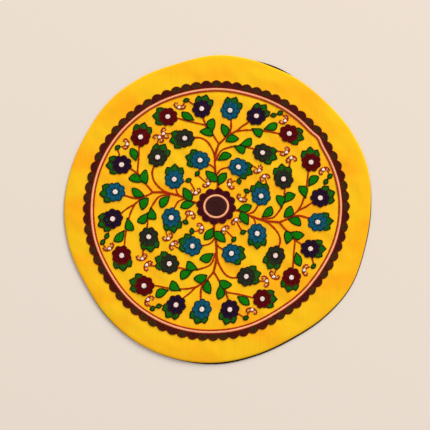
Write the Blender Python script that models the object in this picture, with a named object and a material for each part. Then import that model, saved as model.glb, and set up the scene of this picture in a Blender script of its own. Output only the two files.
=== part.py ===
"""Embroidered round cushion cover, lying flat and empty with its face up.

Two rounds of cotton are sewn together at the edge. The yellow front carries thick thread work, which stands
up from the cloth: a scalloped ring, a rosette in the middle and four flowering branches around it. The dark
back lies under the front and shows only as a thin line past its edge.

The origin is under the middle of the cover, +X points right, +Y to the cover's top and +Z up. Sizes in the
tables are in millimetres, and an angle is in degrees, clockwise from the top as seen from above.
"""

import math
from collections import namedtuple

import bmesh
import bpy
from mathutils import Vector
from mathutils.geometry import delaunay_2d_cdt

MM = 0.001

# The two cloths
BACK_THICKNESS = 1.2
FRONT_THICKNESS = 1.5
LAYER_GAP = 0.3
CROWN_HEIGHT = 0.8
FRONT_ROUNDING = 1.2
FRONT_EDGE_THICKNESS = 0.9
BACK_ROUNDING = 0.3
HIDDEN_EDGE = -0.8
RIM_POINTS = 96
# How far out the crown and the puckers keep their height before they run down to the edge
CROWN_POWER = 4
PUCKER_POWER = 12

# The thread work's height over the cloth, and how far its side slopes in
THREAD_HEIGHT = 0.9
THREAD_SLOPE = 1.0

# The cover as it lies: its edge, how far the back reaches past it, and the peach line of the embroidered ring
EdgeRow = namedtuple("EdgeRow", "angle radius shows ring")
EDGE = (
    EdgeRow(0, 202.0, 0.0, 157.6),
    EdgeRow(15, 201.0, 0.4, 156.4),
    EdgeRow(30, 201.0, 0.5, 157.8),
    EdgeRow(45, 200.0, HIDDEN_EDGE, 159.0),
    EdgeRow(60, 203.5, HIDDEN_EDGE, 160.8),
    EdgeRow(75, 204.5, HIDDEN_EDGE, 162.0),
    EdgeRow(90, 200.5, HIDDEN_EDGE, 161.7),
    EdgeRow(105, 199.0, 0.9, 159.1),
    EdgeRow(120, 201.5, 1.0, 156.3),
    EdgeRow(135, 198.0, 1.1, 155.4),
    EdgeRow(150, 194.5, 1.3, 155.1),
    EdgeRow(165, 196.5, 1.3, 158.1),
    EdgeRow(180, 200.5, 1.3, 160.4),
    EdgeRow(195, 203.0, 0.8, 162.5),
    EdgeRow(210, 203.5, 0.6, 163.2),
    EdgeRow(225, 201.5, 0.8, 163.4),
    EdgeRow(240, 198.5, 0.6, 163.0),
    EdgeRow(255, 200.0, 0.0, 164.6),
    EdgeRow(270, 200.5, HIDDEN_EDGE, 164.5),
    EdgeRow(285, 199.5, HIDDEN_EDGE, 164.0),
    EdgeRow(300, 198.5, HIDDEN_EDGE, 163.6),
    EdgeRow(315, 200.5, HIDDEN_EDGE, 161.4),
    EdgeRow(330, 200.0, HIDDEN_EDGE, 159.6),
    EdgeRow(345, 198.5, HIDDEN_EDGE, 157.9),
)

# A crease draws the ring out in one place.
RING_BUMP_ANGLE = 54.5
RING_BUMP_SPREAD = 3.0
RING_BUMP_RISE = 2.4

# Soft puckers of the plain border: low swellings that run along the edge
Pucker = namedtuple("Pucker", "angle radius along across height")
PUCKERS = (
    Pucker(17, 184, 30, 8, 0.7),
    Pucker(51, 190, 34, 8, 0.9),
    Pucker(80, 189, 26, 8, 0.7),
    Pucker(118, 187, 40, 9, 0.8),
    Pucker(157, 184, 28, 8, 0.9),
    Pucker(192, 190, 34, 8, 0.7),
    Pucker(226, 188, 38, 9, 1.0),
    Pucker(274, 187, 52, 9, 1.0),
    Pucker(325, 187, 34, 8, 0.7),
)

# Where the rosette is centred. The pattern's middle slides from there to the cover's own near the ring.
ROSETTE_CENTRE = (-1.2, 4.1)
RING_RADIUS = 160.5
FIRST_BRANCH_ANGLE = 8.0
BRANCH_COUNT = 4

# Rows of a round pattern run inwards: a row's radius, its height as a share of the thread's, and its thread.
# A row marked as lobed follows the scallops. The ring's radii are measured from its peach line.
RoundRow = namedtuple("RoundRow", "radius height lobed thread")
RING_ROWS = (
    RoundRow(10.0, 0.0, True, "plum"),
    RoundRow(9.0, 1.0, True, "plum"),
    RoundRow(2.4, 1.0, False, "plum"),
    RoundRow(1.7, 0.4, False, "peach"),
    RoundRow(0.1, 1.0, False, "peach"),
    RoundRow(-1.5, 0.4, False, "peach"),
    RoundRow(-2.5, 0.8, False, "red"),
    RoundRow(-3.6, 0.0, False, "red"),
)
ROSETTE_ROWS = (
    RoundRow(24.3, 0.0, True, "plum"),
    RoundRow(23.3, 1.0, True, "plum"),
    RoundRow(17.5, 1.0, False, "plum"),
    RoundRow(16.8, 0.4, False, "peach"),
    RoundRow(15.1, 1.0, False, "peach"),
    RoundRow(13.9, 0.4, False, "peach"),
    RoundRow(13.1, 1.0, False, "brown"),
    RoundRow(5.0, 1.2, False, "brown"),
)
# The scallops: how many, how deep, the angle where the first starts, and their colours in turn
Scallops = namedtuple("Scallops", "count depth start threads")
RING_SCALLOPS = Scallops(77, 3.2, 1.9, ("plum", "plum", "moss", "moss", "moss", "plum", "moss"))
ROSETTE_SCALLOPS = Scallops(12, 3.2, -7.0, ("plum",))
# Where the net follows a scallop, and how full a scallop is
SCALLOP_SHARES = (0.0, 0.2, 0.5, 0.8)
SCALLOP_FULLNESS = 0.6
RING_LINE_POINTS = 72
ROSETTE_LINE_POINTS = 24

# One branch, drawn upright: x runs to its right, y out from the middle of the cover. Every second branch is
# the mirror image of the first. sepals is the direction of the green sepals, from straight out.
Flower = namedtuple("Flower", "thread x y sepals")
FLOWERS = (
    Flower("blue", 0.0, 132.5, 15),
    Flower("purple", -37.0, 129.0, 10),
    Flower("purple", 33.5, 131.0, 32),
    Flower("maroon", -77.5, 110.0, -95),
    Flower("maroon", 78.5, 113.0, 104),
    Flower("dark green", -53.0, 85.0, -110),
    Flower("dark green", 50.0, 81.5, 106),
    Flower("blue", -28.0, 58.5, -83),
    Flower("blue", 22.0, 55.5, 108),
)
PETAL_COUNT = 8
PETAL_TIP = 12.4
PETAL_NOTCH = 10.4
MOTIF_DOME = 0.3
# Around the sepals' own direction: their three tips, the notches between them and where they leave the petals
SepalPoint = namedtuple("SepalPoint", "turn radius")
SEPALS = (
    SepalPoint(-64, 9.0),
    SepalPoint(-36, 18.5),
    SepalPoint(-18, 14.7),
    SepalPoint(0, 19.0),
    SepalPoint(18, 14.7),
    SepalPoint(36, 18.5),
    SepalPoint(64, 9.0),
)
SEPAL_HEIGHT = 0.7

# A leaf runs from base to tip. belly bulges its right side, or with a minus its left side.
Leaf = namedtuple("Leaf", "base_x base_y tip_x tip_y width belly")
LEAVES = (
    Leaf(-3.5, 33.5, -18.0, 44.5, 10.0, 0.0),
    Leaf(-0.5, 31.0, 7.5, 45.0, 10.0, -0.3),
    Leaf(-4.0, 62.0, 10.5, 70.5, 9.5, -0.5),
    Leaf(20.5, 87.0, 33.5, 99.0, 10.0, 0.5),
    Leaf(13.5, 83.5, 27.0, 75.0, 9.5, -0.5),
    Leaf(-19.5, 101.5, -20.5, 117.0, 9.5, -0.5),
    Leaf(-18.5, 93.5, -34.5, 98.0, 9.5, 0.4),
    Leaf(-45.5, 112.0, -60.5, 120.5, 9.0, 0.2),
    Leaf(-1.5, 95.5, -8.5, 111.0, 9.5, 0.5),
    Leaf(1.0, 89.5, 16.0, 95.0, 9.5, -0.5),
    Leaf(30.5, 111.5, 44.5, 102.0, 9.5, -0.5),
    Leaf(47.0, 114.5, 61.5, 126.0, 9.5, -0.5),
)
# Small leaves of the curls, by their middle
TinyLeaf = namedtuple("TinyLeaf", "x y turn")
TINY_LEAVES = (
    TinyLeaf(-29.0, 40.0, 30),
    TinyLeaf(25.5, 36.5, -20),
    TinyLeaf(-59.0, 137.5, 60),
    TinyLeaf(55.5, 135.0, 70),
    TinyLeaf(63.5, 139.0, 60),
)
# Half of a leaf's outline, from its round base to its sharp tip, and where along it the whole shows
LeafPoint = namedtuple("LeafPoint", "along half_width")
LEAF_SHAPE = (
    LeafPoint(0.02, 0.35),
    LeafPoint(0.22, 0.85),
    LeafPoint(0.48, 1.0),
    LeafPoint(0.76, 0.62),
)
LEAF_MIDDLE = 0.42
TINY_LEAF_LENGTH = 7.0
TINY_LEAF_WIDTH = 5.2

# Stems, each through a few points
Stem = namedtuple("Stem", "name points")
STEMS = (
    Stem("trunk", ((-1.0, 25.0), (-3.0, 37.0), (-6.0, 44.0), (-8.5, 57.0), (-9.5, 69.0), (-8.0, 84.0))),
    Stem("right limb", ((-8.0, 84.0), (-2.5, 92.0), (2.5, 100.0), (4.5, 108.0), (3.0, 121.0))),
    Stem("to the right purple", ((2.5, 99.0), (11.0, 105.0), (18.0, 114.0), (25.0, 121.0))),
    Stem("to the right maroon", ((10.0, 104.5), (24.0, 109.5), (46.0, 111.5), (67.0, 111.0))),
    Stem("left limb", ((-8.0, 84.0), (-15.0, 92.0), (-22.0, 101.0), (-30.0, 107.5))),
    Stem("to the left purple", ((-28.0, 106.0), (-33.5, 117.0))),
    Stem("to the left maroon", ((-30.0, 107.5), (-46.0, 108.5), (-66.0, 110.0))),
    Stem("to the left dark green", ((-9.5, 64.0), (-13.0, 73.0), (-22.0, 84.0), (-32.0, 88.5), (-42, 87.5))),
    Stem("to the right dark green", ((-7.5, 61.0), (-4.0, 74.0), (4.0, 80.0), (18.0, 85.0), (39.0, 85.0))),
    Stem("to the left blue", ((-6.5, 47.0), (-10.5, 52.0), (-17.0, 55.0))),
    Stem("to the right blue", ((-4.0, 42.5), (0.5, 49.5), (11.0, 54.0))),
)
STEM_WIDTH = 1.8
STEM_HEIGHT = 0.8
STEM_STEP = 1.0
STEM_THINNING = 8
STEM_OVERLAP = 0.85

# How fine the cloth's own net is between the thread work
BORDER_POINTS = 64
BORDER_SHARES = (0.895, 0.93, 0.965)
# Rings of the front's underside: how far out, and how many points
UNDERSIDE_RINGS = ((0.1, 12), (0.35, 12), (0.6, 36), (0.8, 36), (0.9, 36), (0.96, 36))
# Points closer than this become one
SHORTEST_EDGE = 0.04
HALF_TURN = 180
FULL_TURN = 360

# Colours from the photo: red, green and blue from 0 to 255, and how matt the surface is
Finish = namedtuple("Finish", "name red green blue roughness")
FRONT_CLOTH = Finish("yellow cotton", 251, 187, 20, 0.85)
BACK_CLOTH = Finish("near-black cotton", 34, 24, 20, 0.9)
THREADS = {
    "plum": Finish("plum thread", 64, 18, 34, 0.7),
    "moss": Finish("moss thread", 48, 42, 24, 0.7),
    "peach": Finish("peach thread", 255, 170, 135, 0.7),
    "red": Finish("dark red thread", 140, 34, 6, 0.7),
    "brown": Finish("dark brown thread", 56, 30, 28, 0.7),
    "blue": Finish("blue thread", 16, 92, 132, 0.7),
    "purple": Finish("dark purple thread", 42, 20, 60, 0.7),
    "maroon": Finish("maroon thread", 84, 2, 16, 0.7),
    "dark green": Finish("dark green thread", 36, 54, 44, 0.7),
    "leaf": Finish("leaf green thread", 8, 122, 18, 0.7),
}


def direction(angle):
    """A step of one millimetre at an angle, clockwise from the top."""
    turn = math.radians(angle)
    return Vector((math.sin(turn), math.cos(turn)))


def angle_of(step):
    """The angle of a step, clockwise from the top."""
    return math.degrees(math.atan2(step.x, step.y)) % FULL_TURN


def even_angles(count):
    return [FULL_TURN * index / count for index in range(count)]


def smooth_between(before, start, end, after, share):
    """A smooth curve's value between start and end, from its four nearest values."""
    slope_in = (end - before) / 2
    slope_out = (after - start) / 2
    rise = end - start
    return start + share * (
        slope_in + share * (3 * rise - 2 * slope_in - slope_out + share * (slope_in + slope_out - 2 * rise))
    )


def edge_value(angle, column):
    """One column of the edge table at any angle."""
    step = FULL_TURN / len(EDGE)
    row = int(angle % FULL_TURN // step)
    nearest = [getattr(EDGE[(row + offset) % len(EDGE)], column) for offset in (-1, 0, 1, 2)]
    return smooth_between(*nearest, angle % FULL_TURN / step - row)


def front_radius(angle):
    return edge_value(angle, "radius")


def back_radius(angle):
    return edge_value(angle, "radius") + edge_value(angle, "shows")


def ring_radius(angle):
    bump = (angle % FULL_TURN - RING_BUMP_ANGLE) / RING_BUMP_SPREAD
    return edge_value(angle, "ring") + RING_BUMP_RISE * math.exp(-bump * bump)


def no_radius(angle):
    return 0.0


def outline(radius_at, count, inset=0.0):
    """Points around an edge, the middle of the cover being at zero."""
    return [direction(angle) * (radius_at(angle) - inset) for angle in even_angles(count)]


def middle_of_box():
    """The middle of the box around both cloths, which becomes the origin."""
    points = outline(front_radius, RIM_POINTS) + outline(back_radius, RIM_POINTS)
    across = [point.x for point in points]
    along = [point.y for point in points]
    return Vector(((min(across) + max(across)) / 2, (min(along) + max(along)) / 2))


def underside_height(point):
    """The height of the front's underside: a low crown with the border's puckers, down to the edge."""
    angle = angle_of(point)
    share = min(point.length / front_radius(angle), 1.0)
    height = CROWN_HEIGHT * (1 - share**CROWN_POWER)
    for pucker in PUCKERS:
        turned = (angle - pucker.angle + HALF_TURN) % FULL_TURN - HALF_TURN
        along = math.radians(turned) * pucker.radius / pucker.along
        across = (point.length - pucker.radius) / pucker.across
        swelling = pucker.height * math.exp(-along * along - across * across)
        height += swelling * (1 - share**PUCKER_POWER)
    return BACK_THICKNESS + LAYER_GAP + height


class StarMotif:
    """A raised motif whose outline can be seen whole from its middle. An open one is a fan under others."""

    def __init__(self, thread, middle, border, height=THREAD_HEIGHT, dome=0.0, closed=True):
        self.thread = thread
        self.middle = middle
        self.height_on_top = height
        self.dome = dome
        self.closed = closed
        self.arms = [point - middle for point in border]
        lengths = [arm.length for arm in self.arms]
        self.reach = max(lengths)
        self.top_share = 1 - THREAD_SLOPE * len(lengths) / sum(lengths)
        self.sectors = list(zip(self.arms, self.arms[1:]))
        if closed:
            self.sectors.append((self.arms[-1], self.arms[0]))

    def share(self, point):
        """How far out a point lies: 0 in the middle, 1 on the outline and more outside."""
        step = point - self.middle
        if step.length < self.reach:
            for first, second in self.sectors:
                area = first.cross(second)
                first_part = step.cross(second) / area
                second_part = first.cross(step) / area
                if first_part >= 0 and second_part >= 0:
                    return first_part + second_part
        return math.inf

    def height(self, point):
        share = self.share(point)
        if share >= 1:
            return 0.0
        if share > self.top_share:
            return self.height_on_top * (1 - share) / (1 - self.top_share)
        return self.height_on_top + self.dome * (1 - share / self.top_share)

    def thread_at(self, point):
        return self.thread

    def lines(self):
        """The lines that the cloth's net has to follow: the foot and the top of the motif's side."""
        foot = [self.middle + arm for arm in self.arms]
        top = [self.middle + arm * self.top_share for arm in self.arms]
        if self.closed:
            return [(foot, True), (top, True), ([self.middle], False)]
        return [(foot, False), (top, False)]


class RoundMotif:
    """Rows of thread around a centre, the outer ones scalloped in two colours."""

    def __init__(self, centre, base_radius, rows, scallops, line_points):
        self.centre = Vector(centre)
        self.base_radius = base_radius
        self.rows = rows
        self.scallops = scallops
        self.line_points = line_points

    def scallop_at(self, angle):
        """Counts the scallops up to an angle, with the share of the last one."""
        return (angle - self.scallops.start) % FULL_TURN * self.scallops.count / FULL_TURN

    def radius(self, row, angle):
        """A row's distance from the centre, with its scallop."""
        radius = self.base_radius(angle) + row.radius
        if row.lobed:
            bulge = math.sin(math.pi * (self.scallop_at(angle) % 1)) ** SCALLOP_FULLNESS
            radius += self.scallops.depth * (bulge - 0.5)
        return radius

    def height(self, point):
        step = point - self.centre
        angle = angle_of(step)
        radii = [self.radius(row, angle) for row in self.rows]
        if step.length >= radii[0]:
            return 0.0
        for outer, inner, before, after in zip(self.rows, self.rows[1:], radii, radii[1:]):
            if step.length >= after:
                share = (before - step.length) / (before - after)
                return THREAD_HEIGHT * (outer.height * (1 - share) + inner.height * share)
        return THREAD_HEIGHT * self.rows[-1].height

    def thread_at(self, point):
        step = point - self.centre
        angle = angle_of(step)
        for outer, inner in zip(self.rows, self.rows[1:]):
            if step.length >= self.radius(inner, angle):
                threads = self.scallops.threads
                return threads[int(self.scallop_at(angle)) % len(threads)] if outer.lobed else outer.thread
        return self.rows[-1].thread

    def lines(self):
        scallops = self.scallops
        lobed = [
            scallops.start + FULL_TURN * (scallop + share) / scallops.count
            for scallop in range(scallops.count)
            for share in SCALLOP_SHARES
        ]
        plain = even_angles(self.line_points)
        lines = []
        for row in self.rows:
            angles = lobed if row.lobed else plain
            line = [self.centre + direction(angle) * self.radius(row, angle) for angle in angles]
            lines.append((line, True))
        return lines


class StemMotif:
    """A ridge of thread along a stem."""

    def __init__(self, points):
        self.points = points

    def distance(self, point):
        nearest = math.inf
        for start, end in zip(self.points, self.points[1:]):
            run = end - start
            share = min(max((point - start).dot(run) / run.length_squared, 0.0), 1.0)
            nearest = min(nearest, (point - start - run * share).length)
        return nearest

    def height(self, point):
        return STEM_HEIGHT * max(0.0, 1 - self.distance(point) / (STEM_WIDTH / 2))

    def thread_at(self, point):
        return "red"

    def lines(self):
        sides = {-1: [], 0: [], 1: []}
        last = len(self.points) - 1
        for index, point in enumerate(self.points):
            run = self.points[min(index + 1, last)] - self.points[max(index - 1, 0)]
            across = Vector((run.y, -run.x)).normalized() * STEM_WIDTH / 2
            for side, line in sides.items():
                line.append(point + across * side)
        return [(line, False) for line in sides.values()]


def placed(branch, point):
    """A point of one branch as it lies on the cover, where the pattern follows the ring's uneven line."""
    turn = FIRST_BRANCH_ANGLE + FULL_TURN * branch / BRANCH_COUNT
    side = -1 if branch % 2 else 1
    step = direction(turn) * point[1] + direction(turn + HALF_TURN / 2) * point[0] * side
    share = min(step.length / RING_RADIUS, 1.0)
    stretch = 1 + share * (ring_radius(angle_of(step)) / RING_RADIUS - 1)
    return Vector(ROSETTE_CENTRE) * (1 - share) + step * stretch


def placed_motif(branch, thread, middle, border, **looks):
    return StarMotif(thread, placed(branch, middle), [placed(branch, point) for point in border], **looks)


def flower(branch, row):
    """A flower: the fan of sepals, and over it the petals, each with a notch, a tip and a notch."""
    middle = Vector((row.x, row.y))
    fan = [middle + direction(row.sepals + point.turn) * point.radius for point in SEPALS]
    petals = []
    for angle in even_angles(2 * PETAL_COUNT):
        radius = PETAL_TIP if len(petals) % 2 else PETAL_NOTCH
        petals.append(middle + direction(row.sepals + angle) * radius)
    return [
        placed_motif(branch, "leaf", middle, fan, height=SEPAL_HEIGHT, closed=False),
        placed_motif(branch, row.thread, middle, petals, dome=MOTIF_DOME),
    ]


def leaf_outline(base, tip, width, belly):
    """Points around a leaf that is round at its base and sharp at its tip."""
    run = tip - base
    across = Vector((run.y, -run.x)).normalized() * width / 2
    right = [base + run * row.along + across * row.half_width * (1 + belly / 2) for row in LEAF_SHAPE]
    left = [base + run * row.along - across * row.half_width * (1 - belly / 2) for row in LEAF_SHAPE]
    return right + [tip] + left[::-1]


def leaf(branch, row):
    base = Vector((row.base_x, row.base_y))
    tip = Vector((row.tip_x, row.tip_y))
    border = leaf_outline(base, tip, row.width, row.belly)
    return placed_motif(branch, "leaf", base.lerp(tip, LEAF_MIDDLE), border, dome=MOTIF_DOME)


def tiny_leaf(branch, row):
    middle = Vector((row.x, row.y))
    reach = direction(row.turn) * TINY_LEAF_LENGTH / 2
    border = leaf_outline(middle - reach, middle + reach, TINY_LEAF_WIDTH, 0)[::2]
    return placed_motif(branch, "leaf", middle, border)


def along_curve(points, step):
    """Points at even steps along a smooth curve through the given ones."""
    ends = [2 * points[0] - points[1]] + points + [2 * points[-1] - points[-2]]
    walked = []
    for before, start, end, after in zip(ends, ends[1:], ends[2:], ends[3:]):
        count = max(1, round((end - start).length / step))
        walked += [smooth_between(before, start, end, after, index / count) for index in range(count)]
    return walked + [points[-1]]


def open_runs(points, covers):
    """The stretches of a stem that no leaf or flower covers, each just reaching under it and thinned out."""
    runs = [[]]
    for point in points:
        if any(motif.share(point) < STEM_OVERLAP for motif in covers):
            runs.append([])
        else:
            runs[-1].append(point)
    return [run[:-1:STEM_THINNING] + [run[-1]] for run in runs if len(run) > 2]


def branch_motifs(branch):
    """The flowers, leaves and stems of one branch."""
    motifs = [motif for row in FLOWERS for motif in flower(branch, row)]
    motifs += [leaf(branch, row) for row in LEAVES]
    motifs += [tiny_leaf(branch, row) for row in TINY_LEAVES]
    stems = []
    for row in STEMS:
        points = along_curve([placed(branch, point) for point in row.points], STEM_STEP)
        stems += [StemMotif(run) for run in open_runs(points, motifs)]
    return motifs + stems


def all_motifs():
    motifs = [
        RoundMotif((0, 0), ring_radius, RING_ROWS, RING_SCALLOPS, RING_LINE_POINTS),
        RoundMotif(ROSETTE_CENTRE, no_radius, ROSETTE_ROWS, ROSETTE_SCALLOPS, ROSETTE_LINE_POINTS),
    ]
    for branch in range(BRANCH_COUNT):
        motifs += branch_motifs(branch)
    return motifs


class Net:
    """Points and lines in the plane that a triangle net has to hold."""

    def __init__(self, rim):
        self.points = list(rim)
        self.edges = []
        self.rim = list(range(len(rim)))

    def add(self, line, closed):
        first = len(self.points)
        self.points += line
        ends = list(range(first, first + len(line)))
        self.edges += list(zip(ends, ends[1:]))
        if closed:
            self.edges.append((ends[-1], first))

    def triangles(self):
        inside_only = 1
        result = delaunay_2d_cdt(self.points, self.edges, [self.rim], inside_only, SHORTEST_EDGE)
        return result[0], result[2]


def add_surface(mesh, net, height_at, shift, up):
    """Adds a net to the mesh as a surface, facing up or down."""
    flat_points, triangles = net.triangles()
    verts = [
        mesh.verts.new(Vector((point.x - shift.x, point.y - shift.y, height_at(point))) * MM)
        for point in flat_points
    ]
    faces = [mesh.faces.new([verts[index] for index in corners]) for corners in triangles]
    bmesh.ops.dissolve_degenerate(mesh, edges=mesh.edges, dist=SHORTEST_EDGE * MM)
    return [face for face in faces if face.is_valid] if up else []


def close_sheet(mesh):
    """Joins the rims of the upper and the lower surface with a wall, and points every face outwards."""
    rims = [edge for edge in mesh.edges if edge.is_boundary]
    bmesh.ops.bridge_loops(mesh, edges=rims)
    bmesh.ops.recalc_face_normals(mesh, faces=mesh.faces)


def new_material(finish):
    """A plain material in the finish's colour, which is turned from screen values to linear ones."""
    material = bpy.data.materials.new(finish.name)
    material.use_nodes = True
    shader = material.node_tree.nodes["Principled BSDF"]
    linear = [(value / 255) ** 2.2 for value in (finish.red, finish.green, finish.blue)]
    shader.inputs["Base Color"].default_value = (*linear, 1)
    shader.inputs["Roughness"].default_value = finish.roughness
    shader.inputs["Metallic"].default_value = 0
    material.diffuse_color = (*linear, 1)
    return material


def new_object(name, mesh, materials, collection):
    data = bpy.data.meshes.new(name)
    mesh.to_mesh(data)
    mesh.free()
    for material in materials:
        data.materials.append(material)
    data.shade_flat()
    piece = bpy.data.objects.new(name, data)
    collection.objects.link(piece)
    return piece


def build_back(collection, shift):
    """The back: a flat round of cloth with a rounded edge, lying on the surface."""
    mesh = bmesh.new()
    levels = ((BACK_ROUNDING, 0.0), (0.0, BACK_THICKNESS / 2), (BACK_ROUNDING, BACK_THICKNESS))
    rings = []
    for inset, height in levels:
        points = [point - shift for point in outline(back_radius, RIM_POINTS, inset)]
        rings.append([mesh.verts.new(Vector((point.x, point.y, height)) * MM) for point in points])
    mesh.faces.new(rings[0])
    mesh.faces.new(rings[-1])
    for lower, upper in zip(rings, rings[1:]):
        for index in range(RIM_POINTS):
            after = (index + 1) % RIM_POINTS
            mesh.faces.new((lower[index], lower[after], upper[after], upper[index]))
    bmesh.ops.recalc_face_normals(mesh, faces=mesh.faces)
    return new_object("back_panel", mesh, [new_material(BACK_CLOTH)], collection)


def front_face_net(motifs):
    """The net of the front's face: the border's rings and every line of the thread work."""
    net = Net(outline(front_radius, RIM_POINTS))
    net.add(outline(front_radius, RIM_POINTS, FRONT_ROUNDING), True)
    for share in BORDER_SHARES:
        net.add([point * share for point in outline(front_radius, BORDER_POINTS)], True)
    for motif in motifs:
        for line, closed in motif.lines():
            net.add(line, closed)
    return net


def underside_net():
    net = Net(outline(front_radius, RIM_POINTS))
    for share, count in UNDERSIDE_RINGS:
        net.add([point * share for point in outline(front_radius, count)], True)
    return net


def colour_threads(faces, motifs, slots, shift):
    """Gives each raised face the colour of the thread that stands highest there."""
    for face in faces:
        middle = face.calc_center_median() / MM
        point = Vector((middle.x + shift.x, middle.y + shift.y))
        highest = max(motifs, key=lambda motif: motif.height(point))
        if highest.height(point) > 0:
            face.material_index = slots[highest.thread_at(point)]


def build_front(collection, shift):
    """The front: a thin sheet with a low crown, puckers at its border and the thread work in its face."""
    motifs = all_motifs()

    def face_height(point):
        from_edge = front_radius(angle_of(point)) - point.length
        thickness = FRONT_THICKNESS if from_edge > FRONT_ROUNDING / 2 else FRONT_EDGE_THICKNESS
        return underside_height(point) + thickness + max(motif.height(point) for motif in motifs)

    mesh = bmesh.new()
    upper = add_surface(mesh, front_face_net(motifs), face_height, shift, True)
    slots = {thread: index for index, thread in enumerate(THREADS, start=1)}
    colour_threads(upper, motifs, slots, shift)
    add_surface(mesh, underside_net(), underside_height, shift, False)
    close_sheet(mesh)
    materials = [new_material(FRONT_CLOTH)] + [new_material(finish) for finish in THREADS.values()]
    return new_object("front_panel", mesh, materials, collection)


def clear_scene():
    for piece in list(bpy.data.objects):
        bpy.data.objects.remove(piece, do_unlink=True)


def main():
    clear_scene()
    collection = bpy.data.collections.new("embroidered cushion cover")
    bpy.context.scene.collection.children.link(collection)
    shift = middle_of_box()
    build_back(collection, shift)
    build_front(collection, shift)


main()
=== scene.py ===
"""Embroidered round cushion cover, empty and lying flat with its face up: the cloths, the thread work and the stage.

Patterns are laid out in millimetres around the middle of the cover, with angles in degrees clockwise from its top.
place_on_cover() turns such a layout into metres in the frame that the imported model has.
"""

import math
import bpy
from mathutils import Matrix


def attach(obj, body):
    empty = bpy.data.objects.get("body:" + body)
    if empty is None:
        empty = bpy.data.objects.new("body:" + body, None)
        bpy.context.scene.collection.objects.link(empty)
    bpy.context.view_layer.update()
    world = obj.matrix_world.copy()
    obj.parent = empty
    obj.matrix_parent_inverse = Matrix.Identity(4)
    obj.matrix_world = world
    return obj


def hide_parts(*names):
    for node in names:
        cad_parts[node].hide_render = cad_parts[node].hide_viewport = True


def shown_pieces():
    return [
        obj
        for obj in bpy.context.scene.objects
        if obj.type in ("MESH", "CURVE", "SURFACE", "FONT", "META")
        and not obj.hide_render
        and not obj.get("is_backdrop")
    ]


bl_info = {
    "name": "Embroidered cushion cover",
    "version": (1, 0, 0),
    "blender": (4, 5, 0),
    "location": "3D View > Sidebar > Cover",
    "description": "Makes a round cushion cover with chain-stitched branches, and the stage it lies on",
    "category": "Object",
}

from collections import namedtuple

import bpy
import numpy as np
from bpy.props import FloatProperty, FloatVectorProperty, IntProperty, PointerProperty

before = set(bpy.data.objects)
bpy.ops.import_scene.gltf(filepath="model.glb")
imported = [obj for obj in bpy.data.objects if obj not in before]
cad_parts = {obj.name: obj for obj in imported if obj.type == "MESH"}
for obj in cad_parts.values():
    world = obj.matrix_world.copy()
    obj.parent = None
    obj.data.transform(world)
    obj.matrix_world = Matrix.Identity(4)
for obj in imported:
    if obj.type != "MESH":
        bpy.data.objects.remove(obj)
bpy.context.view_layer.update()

MM = 0.001
FULL_TURN = 360.0
BODY = "root"

# The two cloths, as in the solids
BACK_THICKNESS = 1.2
FRONT_THICKNESS = 1.5
LAYER_GAP = 0.3
CROWN_HEIGHT = 0.8
CROWN_POWER = 4
PUCKER_POWER = 12

# The cover as it lies, at every 15 degrees: the radius of the front, how far the back reaches past it, the radius of
# the round that the branches fill, and how far the peach line strays from it
HIDDEN = -0.8
EDGE = np.array(
    (
        ((202.0, HIDDEN, 157.6, 0.3), (201.0, -0.6, 156.4, 0.65), (200.6, -0.6, 157.8, 0.6)),
        ((200.0, HIDDEN, 159.0, 0.45), (203.0, HIDDEN, 160.8, -0.4), (204.1, 0.0, 162.0, -0.6)),
        ((200.5, 1.05, 161.7, -0.4), (199.0, 1.25, 159.1, 0.05), (201.3, 1.2, 156.3, -0.1)),
        ((198.0, 1.6, 155.4, -0.3), (194.5, 2.1, 155.1, -0.85), (196.5, 2.1, 158.1, -1.0)),
        ((200.5, 2.3, 160.4, -1.0), (203.0, 0.8, 162.5, -0.7), (203.5, 0.4, 163.2, 0.05)),
        ((201.5, 0.8, 163.4, 0.3), (198.5, 0.15, 163.0, 0.0), (200.0, HIDDEN, 164.6, -0.15)),
        ((200.5, HIDDEN, 164.5, -0.1), (198.9, HIDDEN, 164.0, 0.05), (198.3, HIDDEN, 163.6, -0.35)),
        ((200.4, HIDDEN, 161.4, 0.25), (199.6, HIDDEN, 159.6, 0.4), (198.0, HIDDEN, 157.9, 0.4)),
    )
).reshape(-1, 4)
RADIUS, SHOWS, RING, STRAY = range(4)
RIM_POINTS = 96
# Creases that draw one column in or out: the column, the angle, how wide the crease is and how far it moves the edge
CREASES = ((RING, 54.5, 3.0, 2.4), (RADIUS, 22.0, 6.0, -1.2), (SHOWS, 22.0, 7.1, 2.9))

# Soft puckers that run along the plain border: the angle, radius, length, width and height of each
PUCKERS = ((17, 184, 30, 8, 0.7), (51, 190, 34, 8, 0.9), (80, 189, 26, 8, 0.7), (118, 187, 40, 9, 0.8))
PUCKERS += ((157, 184, 28, 8, 0.9), (192, 190, 34, 8, 0.7), (226, 188, 38, 9, 1.0), (274, 187, 52, 9, 1.0))
PUCKERS += ((325, 187, 34, 8, 0.7),)

# Small ripples of the cloth between the thread work: how many waves are mixed, and how long they are
RIPPLE_SEED = 11
RIPPLE_WAVES = 14
RIPPLE_SHORTEST = 16.0
RIPPLE_LONGEST = 46.0

# The cloths' grids
SPOKES = 288
FRONT_RINGS = 60
BACK_RINGS = 8
# The turned edge of each cloth: how far in from the edge, and how far below the face
FRONT_TURN = ((4.5, 0.0), (2.6, 0.1), (1.3, 0.3), (0.5, 0.55), (0.1, 0.85), (0.0, 1.1))
BACK_TURN = ((1.0, 0.0), (0.35, 0.12), (0.08, 0.35), (0.0, 0.6), (0.08, 0.85), (0.35, 1.08))
# The rings of the undersides, as shares of the way out to the edge
UNDERSIDE = (0.997, 0.96, 0.8, 0.5, 0.2)

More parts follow.
